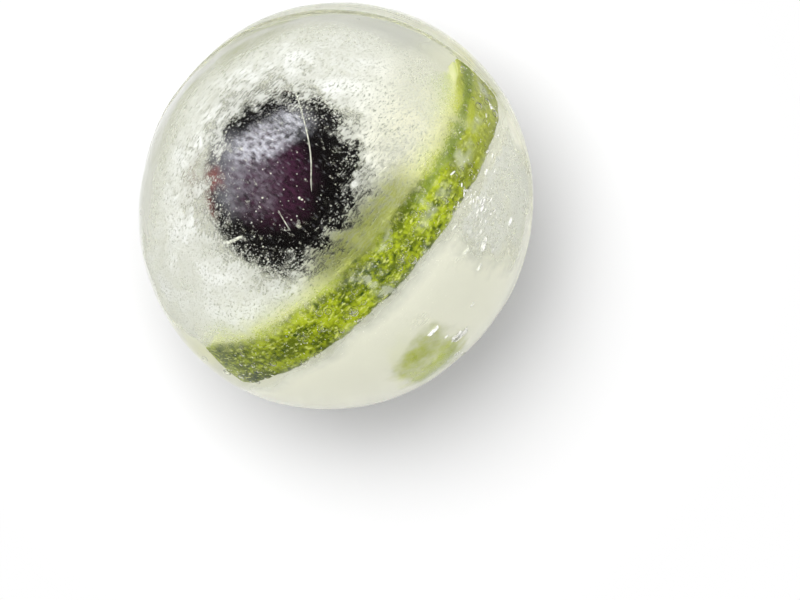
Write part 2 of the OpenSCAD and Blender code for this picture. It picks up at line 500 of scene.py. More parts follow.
def add(tree, kind, settings=None, sockets=()):
    """Adds a shader node, sets its settings, and gives its sockets values or links.

    Sockets are named in a dictionary or listed in their own order, which for a MapRange is its value, the
    two ends of the range that it takes and the two ends of the range that it gives. A link comes from an
    output, or from a node, whose first output in use it then takes.
    """
    made = tree.nodes.new("ShaderNode" + kind)
    for key, value in (settings or {}).items():
        setattr(made, key, value)
    for key, value in sockets.items() if isinstance(sockets, dict) else enumerate(sockets):
        if isinstance(value, bpy.types.Node):
            value = next(output for output in value.outputs if output.enabled)
        if isinstance(value, bpy.types.NodeSocket):
            tree.links.new(value, made.inputs[key])
        else:
            made.inputs[key].default_value = value
    return made


def new_material(name):
    """An empty node material and its tree."""
    material = bpy.data.materials.new(name)
    material.use_nodes = True
    material.node_tree.nodes.clear()
    return material, material.node_tree


def lamp_through(tree, shader, from_outside, from_inside, matt_share):
    """Lets lamps shine through a clear shader, dimmed by a share for each side, and joins it to the output.

    Matt light that comes from outside goes straight in by its own share, so that the ground keeps a soft
    shadow.
    """
    rays = add(tree, "LightPath").outputs
    inside = add(tree, "NewGeometry").outputs["Backfacing"]
    outside = add(tree, "Math", MINUS, [1.0, inside])
    matt = add(tree, "Math", TIMES, [rays["Is Diffuse Ray"], outside])
    straight = add(tree, "Math", LARGER, [rays["Is Shadow Ray"], matt])
    lamps = add(tree, "MapRange", {}, [inside, 0, 1, from_outside, from_inside])
    share = add(tree, "Math", TIMES_PLUS, [matt, matt_share - from_outside, lamps])
    through = add(tree, "BsdfTransparent", {}, {"Color": share})
    mixed = add(tree, "MixShader", {}, [straight, shader, through])
    add(tree, "OutputMaterial", {}, {"Surface": mixed})


# Middle and half widths of the place on the skin under which the grape is seen; it reaches all the way down
GRAPE_SEEN = (np.array([-7.8, 3.4, 0.0]) * MM, np.array([13.0, 15.0, 1e6]) * MM)
# Zones of the ball's skin: direction, angles in degrees where faded and where full, raggedness. Frost lies
# over the fruit, on the right and at the lower left, and the ice is clearer over the chip
FROST_TOP = ((-0.14, 0.03, 0.99), 65, 45, 0.16)
FROST_SIDE = ((0.84, 0.05, 0.54), 28, 12, 0.22)
FROST_LOW = ((-0.8, -0.32, 0.51), 24, 10, 0.2)
CHIP_SEEN = ((0.47, -0.79, 0.39), 16, 6, 0.1)
# The clearest ice, over the grape, has an even edge
WINDOW = ((-0.30, 0.20, 0.93), 22, 14)


def toward_zone(tree, outward, wander, zone):
    """Mask that is full near a zone's direction from the middle and fades out with a ragged edge."""
    direction, faded, full, ragged = zone
    facing = add(tree, "VectorMath", DOT, [outward, direction])
    shaken = add(tree, "Math", TIMES_PLUS, [wander, ragged, facing])
    low, high = (math.cos(math.radians(angle)) + ragged / 2 for angle in (faded, full))
    return add(tree, "MapRange", SMOOTH, [shaken, low, high])


def seam_streaks(tree, middle, ice):
    """Mask of the streaks that the mould left along the seam, just below it."""
    above = add(tree, "VectorMath", DOT, [middle, seam_turn(ice)[:, 2]])
    below = add(tree, "MapRange", SMOOTH, [above, 1.1 * MM, -0.7 * MM])
    lengthwise = add(tree, "Mapping", STRETCHED,
                     {"Vector": middle, "Rotation": Euler((0, -ice.seam_tilt, ice.seam_heading)),
                      "Scale": (6 * MM, 6 * MM, 0.5 * MM)})
    streak = add(tree, "TexNoise", {}, {"Vector": lengthwise, "Scale": 1.0, "Detail": 3.0})
    lines = add(tree, "MapRange", {}, [streak, 0.35, 0.7, 0.25, 0.55])
    fading = add(tree, "MapRange", SMOOTH, [above, -9 * MM, -2 * MM])
    lined = add(tree, "Math", TIMES, [lines, fading])
    return add(tree, "Math", TIMES, [lined, below])


def juice_stain(tree, along, edged, chip, rubbed, ragged):
    """Share and colour of the juice in the ice: olive by the strip, paler at its ends, green by the chip."""
    reach = add(tree, "Math", UNSIGNED, [along])
    stain_along = add(tree, "MapRange", SMOOTH, [reach, 15 * MM, 5 * MM, 0.55, 0.9])
    faint = add(tree, "MapRange", SMOOTH, [reach, 7 * MM, 14 * MM])
    olive = add(tree, "Mix", COLOURS, {SHARE: faint, FROM: rgba("#8e9420"), TO: rgba("#efeea8")})
    sap = add(tree, "Mix", COLOURS, {SHARE: chip, FROM: olive, TO: rgba("#ced93e")})
    closer = add(tree, "Math", TIMES_PLUS, [faint, -3 * MM, edged])
    stain_aside = add(tree, "MapRange", SMOOTH, [closer, -8 * MM, -3.5 * MM])
    up_side = add(tree, "MapRange", SMOOTH, [edged, 1.8 * MM, 0.0])
    blotched = add(tree, "MapRange", {}, [rubbed, 0.48, 0.66, 0.6])
    stained = stain_aside
    for share in (stain_along, up_side, blotched):
        stained = add(tree, "Math", TIMES, [stained, share])
    patchy = add(tree, "MapRange", {}, [ragged, 0.35, 0.65, 0, 0.9])
    by_chip = add(tree, "Math", TIMES, [chip, patchy])
    return add(tree, "Math", LARGER, [stained, by_chip]), sap


def clear_ice():
    """Ice frozen in a smooth mould: clear and wet at the rim, and frosty where air drove the crystals apart.

    To the eye the frost is white, in short streaks half a millimetre wide that all lie one way, and its
    bumps break up what lies behind it. Beyond the lime the ice is dull and milky, and by the fruit the juice
    has stained it. Below the seam the mould left streaks that run along it.
    """
    ice, lime = bpy.context.scene.ice, bpy.context.scene.lime
    material, tree = new_material("Clear moulded ice")
    spot = add(tree, "TexCoord").outputs["Object"]
    middle = add(tree, "VectorMath", MINUS, [spot, ball_middle()])
    outward = add(tree, "VectorMath", UNIT, [middle])
    wander = add(tree, "TexNoise", {}, {"Vector": spot, "Scale": per(7 * MM), "Detail": 3.0})
    over, low, side, chip = (toward_zone(tree, outward, wander, zone)
                             for zone in (FROST_TOP, FROST_LOW, FROST_SIDE, CHIP_SEEN))
    top = add(tree, "Math", LARGER, [over, low])
    turn = strip_place(lime)[0]
    along, aside = (add(tree, "VectorMath", DOT, [middle, axis]) for axis in (turn[:, 0], turn[:, 2]))
    shaken = add(tree, "Math", TIMES_PLUS, [wander, 4 * MM, aside])
    dull = add(tree, "MapRange", SMOOTH, [shaken, 6 * MM, 10 * MM])

    # Patterns that the frost is made of
    ragged, cloud, grain = (
        add(tree, "TexNoise", {}, {"Vector": spot, "Scale": per(size), "Detail": detail, "Roughness": rough})
        for size, detail, rough in ((3 * MM, 4.0, 0.65), (5 * MM, 4.0, 0.6), (0.3 * MM, 2.0, 0.6)))
    strokes = add(tree, "Mapping", STRETCHED,
                  {"Vector": middle, "Rotation": Euler((0, 0, lime.strip_heading)),
                   "Scale": (1.4 * MM, 0.3 * MM, 0.3 * MM)})
    stroke = add(tree, "TexNoise", {}, {"Vector": strokes, "Scale": 1.0, "Detail": 4.0, "Roughness": 0.7})
    rubbed = add(tree, "Math", TIMES_PLUS, [grain, 0.25, stroke])

    # Where the frost lies: on top but not over the grape, in drifts on the strip, and thin on the right
    centred = add(tree, "VectorMath", PLUS, [middle, -GRAPE_SEEN[0]])
    shrunk = add(tree, "VectorMath", TIMES, [centred, 1 / GRAPE_SEEN[1]])
    outline = add(tree, "VectorMath", LENGTH, [shrunk])
    frayed = add(tree, "Math", TIMES_PLUS, [stroke, 0.35, ragged])
    loose = add(tree, "Math", TIMES_PLUS, [frayed, 1.35, outline])
    past = add(tree, "MapRange", SMOOTH, [loose, 1.7, 2.02])
    edged = add(tree, "Math", TIMES_PLUS, [ragged, 4 * MM, aside])
    drift = add(tree, "MapRange", SMOOTH, [cloud, 0.54, 0.66, 0.02, 0.4])
    higher = add(tree, "MapRange", SMOOTH, [along, -14 * MM, -4 * MM])
    drifted = add(tree, "Math", TIMES, [drift, higher])
    nearer = add(tree, "MapRange", SMOOTH, [along, 6 * MM, 18 * MM, 0, 1.5 * MM])
    fringe = add(tree, "Math", MINUS, [edged, nearer])
    off_strip = add(tree, "MapRange", SMOOTH, [fringe, 1.2 * MM, -4.5 * MM, drifted])
    past_both = add(tree, "Math", TIMES, [past, off_strip])
    open_frost = add(tree, "Math", TIMES, [top, past_both])
    beyond = add(tree, "MapRange", SMOOTH, [edged, 7.5 * MM, 9.5 * MM])
    right = add(tree, "Math", TIMES, [side, beyond])
    thinned = add(tree, "Math", TIMES, [right, 0.6])
    cover = add(tree, "Math", LARGER, [open_frost, thinned])

    # Crystals of the frost, and loose white flecks that crowd round the grape
    piled = add(tree, "Math", TIMES_PLUS, [cloud, 0.8, rubbed])
    crystal = add(tree, "MapRange", {}, [piled, 0.88, 1.18, 0.3])
    body = add(tree, "Math", TIMES, [crystal, cover])
    ring = add(tree, "MapRange", SMOOTH, [outline, 0.4, 0.95, 0, 0.22])
    close = add(tree, "MapRange", SMOOTH, [outline, 1.5, 1.15, 0.2])
    salt = add(tree, "Math", PLUS, [grain, stroke])
    denser = add(tree, "Math", TIMES_PLUS, [ring, close, salt])
    fleck = add(tree, "MapRange", {}, [denser, 1.25, 1.37, 0, 0.46])
    flecks = add(tree, "Math", TIMES, [fleck, top])
    white = add(tree, "Math", LARGER, [body, flecks])

    # How clear and how rough the ice is
    streaked = seam_streaks(tree, middle, ice)
    milky = add(tree, "Math", LARGER, [white, streaked])
    opened = add(tree, "Math", TIMES, [chip, 0.5])
    broken = add(tree, "Math", LARGER, [opened, right])
    thin = add(tree, "MapRange", {}, [broken, 0, 1, 0.82, 0])
    veil = add(tree, "Math", TIMES, [dull, thin])
    veiled = add(tree, "Math", LARGER, [milky, veil])
    clear = add(tree, "MapRange", {}, [veiled, 0, 1, 1, 0.2])
    soft = add(tree, "Math", TIMES_PLUS, [dull, 0.14, 0.04])
    rough = add(tree, "Math", LARGER, [soft, milky])

    # Colour: frost that is creamy by the strip's upper end, dull ice beyond it, and juice
    upper = add(tree, "MapRange", SMOOTH, [along, 2 * MM, 13 * MM])
    by_strip = add(tree, "MapRange", SMOOTH, [aside, -20 * MM, -8 * MM])
    yellowed = add(tree, "Math", TIMES, [upper, by_strip])
    creamed = add(tree, "Math", MINUS_TO_ZERO, [yellowed, right])
    cream = add(tree, "Mix", COLOURS, {SHARE: creamed, FROM: rgba(ice.frost), TO: rgba("#e8e7cf")})
    dull_only = add(tree, "Math", MINUS_TO_ZERO, [dull, right])
    frost = add(tree, "Mix", COLOURS, {SHARE: dull_only, FROM: cream, TO: rgba("#f5f5e2")})
    paled = add(tree, "Math", LARGER, [veiled, right])
    whitened = add(tree, "Mix", COLOURS, {SHARE: paled, FROM: rgba(ice.tint), TO: frost})
    juice, sap = juice_stain(tree, along, edged, chip, rubbed, ragged)
    juicy = add(tree, "Mix", COLOURS, {SHARE: juice, FROM: whitened, TO: sap})

    # Bumps of the frost, with painted grey shade in the clefts between them
    rest = add(tree, "MapRange", {}, [past_both, 0, 1, 0.1])
    calm = add(tree, "Math", LARGER, [rest, right])
    frosty = add(tree, "Math", LARGER, [top, right])
    bumpy = add(tree, "Math", TIMES, [frosty, calm])
    cleft_shade_pattern = add(tree, "MapRange", {}, [rubbed, 0.59, 0.46, 0, 0.9])
    near = add(tree, "MapRange", SMOOTH, [outline, 2.2, 1.2, 0.42])
    patch = add(tree, "MapRange", SMOOTH, [cloud, 0.4, 0.6, 0.45])
    nearest = add(tree, "Math", LARGER, [near, low])
    cleft_shade_spread = add(tree, "Math", TIMES, [nearest, patch])
    cleft_shade_zone = add(tree, "Math", TIMES, [cleft_shade_spread, bumpy])
    painted_cleft_shade = add(tree, "Math", TIMES, [cleft_shade_pattern, cleft_shade_zone])
    # Painted shade: dark grey in the clefts stands in for the shade and dark refractions between the
    # crystals
    tint = add(tree, "Mix", COLOURS, {SHARE: painted_cleft_shade, FROM: juicy, TO: rgba("#747b67")})
    swell = add(tree, "Math", TIMES, [rubbed, bumpy])
    swollen = add(tree, "Math", TIMES_PLUS, [streaked, 0.4, swell])
    bump = add(tree, "Bump", {}, {"Height": swollen, "Strength": 1.0, "Distance": 0.18 * MM})
    wet = add(tree, "BsdfPrincipled", {},
              {"Base Color": tint, "Roughness": rough, "IOR": ICE_IOR, "Normal": bump,
               "Transmission Weight": clear, "Specular Tint": rgba((0.4, 0.4, 0.4))})
    lamp_through(tree, wet, from_outside=0.06, from_inside=0.97, matt_share=0.38)
    return material


def bubble_wall():
    """The wall of an air bubble in ice: smooth and clear, so that it glints and shows a dark ring."""
    material, tree = new_material("Air bubble wall in ice")
    wall = add(tree, "BsdfPrincipled", {},
               {"Base Color": rgba("#ffffff"), "Roughness": 0.02, "IOR": ICE_IOR,
                "Transmission Weight": 1.0})
    lamp_through(tree, wall, from_outside=0.97, from_inside=0.97, matt_share=0.97)
    return material


def air_speck():
    """Clusters of air too fine to see one by one: white and matt, drawn coarser than they are."""
    material, tree = new_material("Fine air specks in ice")
    speck = add(tree, "BsdfPrincipled", {}, {"Base Color": rgba("#fdfdf8"), "Roughness": 0.5, "IOR": 1.2})
    shadow = add(tree, "LightPath").outputs["Is Shadow Ray"]
    through = add(tree, "BsdfTransparent", {}, {"Color": rgba((0.93, 0.93, 0.93))})
    mixed = add(tree, "MixShader", {}, [shadow, speck, through])
    add(tree, "OutputMaterial", {}, {"Surface": mixed})
    return material


def crack_wall():
    """The face of a hairline crack in ice, white because its many small flaws scatter light."""
    material, tree = new_material("Hairline crack in ice")
    spot = add(tree, "TexCoord").outputs["Object"]
    flaws = add(tree, "TexNoise", {}, {"Vector": spot, "Scale": per(0.6 * MM), "Detail": 2.0})
    shade = add(tree, "MapRange", {}, [flaws, 0.35, 0.6, 0.15])
    face = add(tree, "BsdfPrincipled", {}, {"Base Color": rgba("#f8f8f2"), "Roughness": 0.55, "IOR": 1.5,
                                            "Alpha": shade})
    add(tree, "OutputMaterial", {}, {"Surface": face})
    return material


# Middle and half widths of the slanting band of bloom, partly a painted highlight, from the grape's middle
BLOOM_AND_HIGHLIGHT_BAND = (np.array([-3.0, 5.6, 8.0]) * MM, np.array([7.6, 2.6, 8.0]) * MM)
# Sides of the grape: direction, and how nearly the skin faces it where a mask begins and where it is full
# Purple and red sides: a painted glow of light shining through the skin on the lit left side
PURPLE_LIT_GLOW = ((-0.34, 0.02, 0.94), 0.7, 0.98)
RED_LIT_GLOW = ((-0.98, -0.05, 0.15), 0.91, 0.98)
# Two bloom sides: bloom on the lit left side only, partly a painted sheen
THIN_BLOOM_LIT_SHEEN = ((-0.62, 0.05, 0.78), 0.76, 0.98)
WORN_BLOOM_LIT_SHEEN = ((-0.86, 0.12, 0.5), 0.8, 0.98)


def grape_skin_material():
    """Ripe black grape skin: nearly black and smooth, with a painted glow of purple to red on its lit left
    side where light shines through, and a waxy bloom.

    To the eye the bloom is a pale bluish haze, rubbed off in places, over tiny pale dots. The slanting band
    and the haze are painted on the lit left side only, partly as a painted highlight and sheen.
    """
    grape = bpy.context.scene.grape
    material, tree = new_material("Ripe black grape skin with bloom")
    spot = add(tree, "TexCoord").outputs["Object"]
    local = add(tree, "VectorMath", MINUS, [spot, ball_middle() + np.array(grape.place)])
    outward = add(tree, "VectorMath", UNIT, [local])
    blotch = add(tree, "TexNoise", {}, {"Vector": spot, "Scale": per(5 * MM), "Detail": 4.0})
    masks = []
    for toward, low, high in (PURPLE_LIT_GLOW, RED_LIT_GLOW, THIN_BLOOM_LIT_SHEEN, WORN_BLOOM_LIT_SHEEN):
        facing = add(tree, "VectorMath", DOT, [outward, toward])
        shaken = add(tree, "Math", TIMES_PLUS, [blotch, 0.3, facing])
        masks.append(add(tree, "MapRange", SMOOTH, [shaken, low + 0.15, high + 0.15]))
    purple_glow_mask, red_glow_mask, thin_bloom_sheen_mask, worn_bloom_sheen_mask = masks
    speckle = add(tree, "TexNoise", {}, {"Vector": spot, "Scale": per(0.45 * MM), "Detail": 3.0,
                                         "Roughness": 0.75})
    ripe = add(tree, "MapRange", {}, [speckle, 0.4, 0.62, 0.1, 1.7])
    # Painted glow: purple, then red, on the lit left side, standing in for light that shines through the
    # skin
    purple_glow_share = add(tree, "Math", TIMES, [purple_glow_mask, ripe])
    purple = add(tree, "Mix", COLOURS, {SHARE: purple_glow_share, FROM: rgba(grape.dark), TO: rgba(grape.purple)})
    red_glow_share = add(tree, "Math", TIMES, [red_glow_mask, ripe])

    # Bloom: a slanting band that is also a painted highlight, a thin haze and a worn limb painted on the lit
    # left side as a sheen, and tiny dots
    wiped = add(tree, "Mapping", STRETCHED,
                {"Vector": local, "Rotation": Euler((0, 0, math.radians(22))),
                 "Scale": (1.1 * MM, 0.55 * MM, 0.55 * MM)})
    rubbed = add(tree, "TexNoise", {}, {"Vector": wiped, "Scale": 1.0, "Detail": 5.0, "Roughness": 0.75})
    haze = add(tree, "MapRange", {}, [rubbed, 0.41, 0.53])
    thin = add(tree, "Math", TIMES, [thin_bloom_sheen_mask, 0.22])
    slant = add(tree, "Mapping", STRETCHED,
                {"Vector": local, "Location": BLOOM_AND_HIGHLIGHT_BAND[0], "Rotation": Euler((0, 0, math.radians(29))),
                 "Scale": BLOOM_AND_HIGHLIGHT_BAND[1]})
    far = add(tree, "VectorMath", LENGTH, [slant])
    strayed = add(tree, "Math", TIMES_PLUS, [blotch, 0.8, far])
    # Painted highlight: the slanting band, in the bloom's colour, where the lamp's reflection falls
    bloom_highlight_band = add(tree, "MapRange", SMOOTH, [strayed, 1.55, 0.9])
    lit_bloom_and_highlight = add(tree, "Math", LARGER, [bloom_highlight_band, thin])
    grainy = add(tree, "Math", TIMES, [haze, ripe])
    bloom_and_highlight_share = add(tree, "Math", TIMES, [grainy, lit_bloom_and_highlight])
    dots = add(tree, "TexVoronoi", {}, {"Vector": spot, "Scale": per(0.9 * MM)})
    dotted = add(tree, "MapRange", {}, [dots, 0.2, 0.1, 0, 0.3])
    worn = add(tree, "MapRange", {}, [rubbed, 0.4, 0.6, 0.1, 0.45])
    lit_limb_sheen = add(tree, "Math", TIMES, [worn_bloom_sheen_mask, worn])
    dulled = add(tree, "Math", LARGER, [bloom_and_highlight_share, lit_limb_sheen])
    hazy = add(tree, "Math", LARGER, [dulled, dotted])

    pale = add(tree, "Mix", COLOURS, {SHARE: hazy, FROM: purple, TO: rgba(grape.bloom)})
    colour = add(tree, "Mix", COLOURS, {SHARE: red_glow_share, FROM: pale, TO: rgba(grape.red)})
    rough = add(tree, "MapRange", {}, [hazy, 0, 1, 0.22, 0.6])
    bump = add(tree, "Bump", {}, {"Height": rubbed, "Strength": 0.5, "Distance": 0.05 * MM})
    skin = add(tree, "BsdfPrincipled", {}, {"Base Color": colour, "Roughness": rough, "IOR": FRUIT_IOR,
                                            "Normal": bump})
    add(tree, "OutputMaterial", {}, {"Surface": skin})
    return material


def grape_flesh_material():
    """Grape flesh: moist, reddish under the skin, with fine pale veins."""
    material, tree = new_material("Moist grape flesh")
    spot = add(tree, "TexCoord").outputs["Object"]
    veins = add(tree, "TexNoise", {},
                {"Vector": spot, "Scale": per(2 * MM), "Detail": 4.0, "Distortion": 1.2})
    colour = add(tree, "Mix", COLOURS, {SHARE: veins, FROM: rgba("#6e3344"), TO: rgba("#c98a80")})
    flesh = add(tree, "BsdfPrincipled", {}, {"Base Color": colour, "Roughness": 0.25, "IOR": FRUIT_IOR})
    add(tree, "OutputMaterial", {}, {"Surface": flesh})
    return material


def grape_pip_material():
    """Grape pip: woody and matt, with a darker mottle."""
    material, tree = new_material("Woody grape pip")
    spot = add(tree, "TexCoord").outputs["Object"]
    mottle = add(tree, "TexNoise", {}, {"Vector": spot, "Scale": per(1 * MM), "Detail": 3.0})
    colour = add(tree, "Mix", COLOURS, {SHARE: mottle, FROM: rgba("#4d3418"), TO: rgba("#9a7440")})
    bump = add(tree, "Bump", {}, {"Height": mottle, "Strength": 0.5, "Distance": 0.1 * MM})
    pip = add(tree, "BsdfPrincipled", {}, {"Base Color": colour, "Roughness": 0.6, "Normal": bump})
    add(tree, "OutputMaterial", {}, {"Surface": pip})
    return material


def lime_rind_material():
    """Lime rind: waxy green over many oil glands, streaked along the fruit.

    To the eye the glands are dark dots about a millimetre apart with a pale net between, and the cut edges
    are paler.
    """
    lime = bpy.context.scene.lime
    material, tree = new_material("Waxy lime rind")
    place = add(tree, "Attribute", {"attribute_name": "lime_place"}).outputs["Vector"]
    along, across, below = add(tree, "SeparateXYZ", {}, [place]).outputs
    stretched = add(tree, "VectorMath", TIMES, [place, (0.35, 1.0, 1.0)])
    streak = add(tree, "TexNoise", {}, {"Vector": stretched, "Scale": per(3.4 * MM), "Detail": 4.0,
                                        "Roughness": 0.6})
    mottle = add(tree, "TexNoise", {}, {"Vector": place, "Scale": per(0.75 * MM), "Detail": 3.0,
                                        "Roughness": 0.6})
    mixture = add(tree, "Math", TIMES_PLUS, [mottle, 0.7, streak])
    deep = add(tree, "MapRange", {}, [mixture, 0.78, 0.97])
    green = add(tree, "Mix", COLOURS, {SHARE: deep, FROM: rgba(lime.deep_green), TO: rgba(lime.green)})
    glands = add(tree, "TexVoronoi", {}, {"Vector": place, "Scale": per(0.95 * MM)})
    gland = add(tree, "MapRange", {}, [glands, 0.15, 0.55])
    net = add(tree, "Math", TIMES, [gland, 0.25])
    netted = add(tree, "Mix", COLOURS, {SHARE: net, FROM: green, TO: rgba("#b0bc1e")})
    # Small pale yellow flecks over the rind
    fine = add(tree, "TexNoise", {}, {"Vector": stretched, "Scale": per(0.34 * MM), "Detail": 2.0})
    pale_fleck = add(tree, "MapRange", {}, [fine, 0.58, 0.65, 0, 0.9])
    dotted = add(tree, "Mix", COLOURS, {SHARE: pale_fleck, FROM: netted, TO: rgba("#e4ea88")})

    # Yellower towards its upper end, with a dark stripe beside a pale scar there
    upper = add(tree, "MapRange", SMOOTH, [along, 38 * MM, 30 * MM, 0, 0.75])
    end = add(tree, "MapRange", SMOOTH, [along, 34 * MM, 12 * MM, 0, 0.6])
    ripe = add(tree, "Mix", COLOURS, {SHARE: end, FROM: dotted, TO: rgba("#c6cc4e")})
    inset = add(tree, "Math", PLUS, [across, 2.2 * MM])
    off_stripe = add(tree, "Math", UNSIGNED, [inset])
    loose = add(tree, "Math", TIMES_PLUS, [streak, 3 * MM, off_stripe])
    stripe = add(tree, "MapRange", SMOOTH, [loose, 2.9 * MM, 2.0 * MM])
    striped = add(tree, "Math", TIMES, [stripe, upper])
    banded = add(tree, "Mix", COLOURS, {SHARE: striped, FROM: ripe, TO: rgba("#728a00")})
    beside = add(tree, "Math", PLUS, [across, -0.3 * MM])
    off_scar = add(tree, "Math", UNSIGNED, [beside])
    ragged = add(tree, "Math", TIMES_PLUS, [streak, 4 * MM, off_scar])
    scar = add(tree, "MapRange", SMOOTH, [ragged, 3.6 * MM, 2.2 * MM])
    broken = add(tree, "TexNoise", {}, {"Vector": place, "Scale": per(4 * MM), "Detail": 3.0})
    here = add(tree, "MapRange", SMOOTH, [broken, 0.42, 0.6])
    scar_here = add(tree, "Math", TIMES, [scar, here])
    scarred = add(tree, "Math", TIMES, [scar_here, upper])
    worn = add(tree, "Mix", COLOURS, {SHARE: scarred, FROM: banded, TO: rgba("#d4d8bc")})

    under = add(tree, "MapRange", SMOOTH, [below, 0.7 * MM, lime.rind])
    colour = add(tree, "Mix", COLOURS, {SHARE: under, FROM: worn, TO: rgba(lime.pale)})
    bump = add(tree, "Bump", {}, {"Height": gland, "Strength": 0.6, "Distance": 0.12 * MM})
    rind = add(tree, "BsdfPrincipled", {}, {"Base Color": colour, "Roughness": 0.35, "IOR": FRUIT_IOR,
                                            "Normal": bump})
    add(tree, "OutputMaterial", {}, {"Surface": rind})
    return material


def lime_pith_material(name, code):
    """Lime pith and membranes: spongy and matt, pale, with a green cast towards the rind."""
    lime = bpy.context.scene.lime
    material, tree = new_material(name)
    place = add(tree, "Attribute", {"attribute_name": "lime_place"}).outputs["Vector"]
    sponge = add(tree, "TexNoise", {}, {"Vector": place, "Scale": per(0.7 * MM), "Detail": 4.0,
                                        "Roughness": 0.65})
    below = add(tree, "SeparateXYZ", {}, [place]).outputs["Z"]
    near = add(tree, "MapRange", {}, [below, lime.rind + 0.9 * MM, lime.rind, 0, 0.55])
    pale = add(tree, "Mix", COLOURS, {SHARE: sponge, FROM: rgba(code), TO: rgba("#f7f7d8")})
    colour = add(tree, "Mix", COLOURS, {SHARE: near, FROM: pale, TO: rgba("#c4d24c")})
    bump = add(tree, "Bump", {}, {"Height": sponge, "Strength": 0.6, "Distance": 0.15 * MM})
    pith = add(tree, "BsdfPrincipled", {}, {"Base Color": colour, "Roughness": 0.7, "IOR": FRUIT_IOR,
                                            "Normal": bump})
    add(tree, "OutputMaterial", {}, {"Surface": pith})
    return material


def lime_flesh_material():
    """Lime flesh: long juice sacs, wet and half clear, with pale walls between them."""
    lime = bpy.context.scene.lime
    material, tree = new_material("Wet lime juice sacs")
    place = add(tree, "Attribute", {"attribute_name": "lime_place"}).outputs["Vector"]
    long_sacs = add(tree, "VectorMath", TIMES, [place, (1.0, 1.0, 0.4)])
    sacs = add(tree, "TexVoronoi", {"feature": "DISTANCE_TO_EDGE"},
               {"Vector": long_sacs, "Scale": per(1.7 * MM)})
    wall = add(tree, "MapRange", {}, [sacs, 0.12, 0.0])
    colour = add(tree, "Mix", COLOURS, {SHARE: wall, FROM: rgba(lime.juice), TO: rgba("#e6ecb4")})
    bump = add(tree, "Bump", {}, {"Height": sacs, "Strength": 0.8, "Distance": 0.5 * MM})
    flesh = add(tree, "BsdfPrincipled", {}, {"Base Color": colour, "Roughness": 0.2, "IOR": FRUIT_IOR,
                                             "Normal": bump})
    add(tree, "OutputMaterial", {}, {"Surface": flesh})
    return material


# Operators

# Half width of the floor, and how far it lies below the ball
FLOOR_REACH = 4.0
FLOOR_DROP = 0.05 * MM
# Sides of the bright card that glints in the ice
CARD_SIZE = (0.46, 0.2)


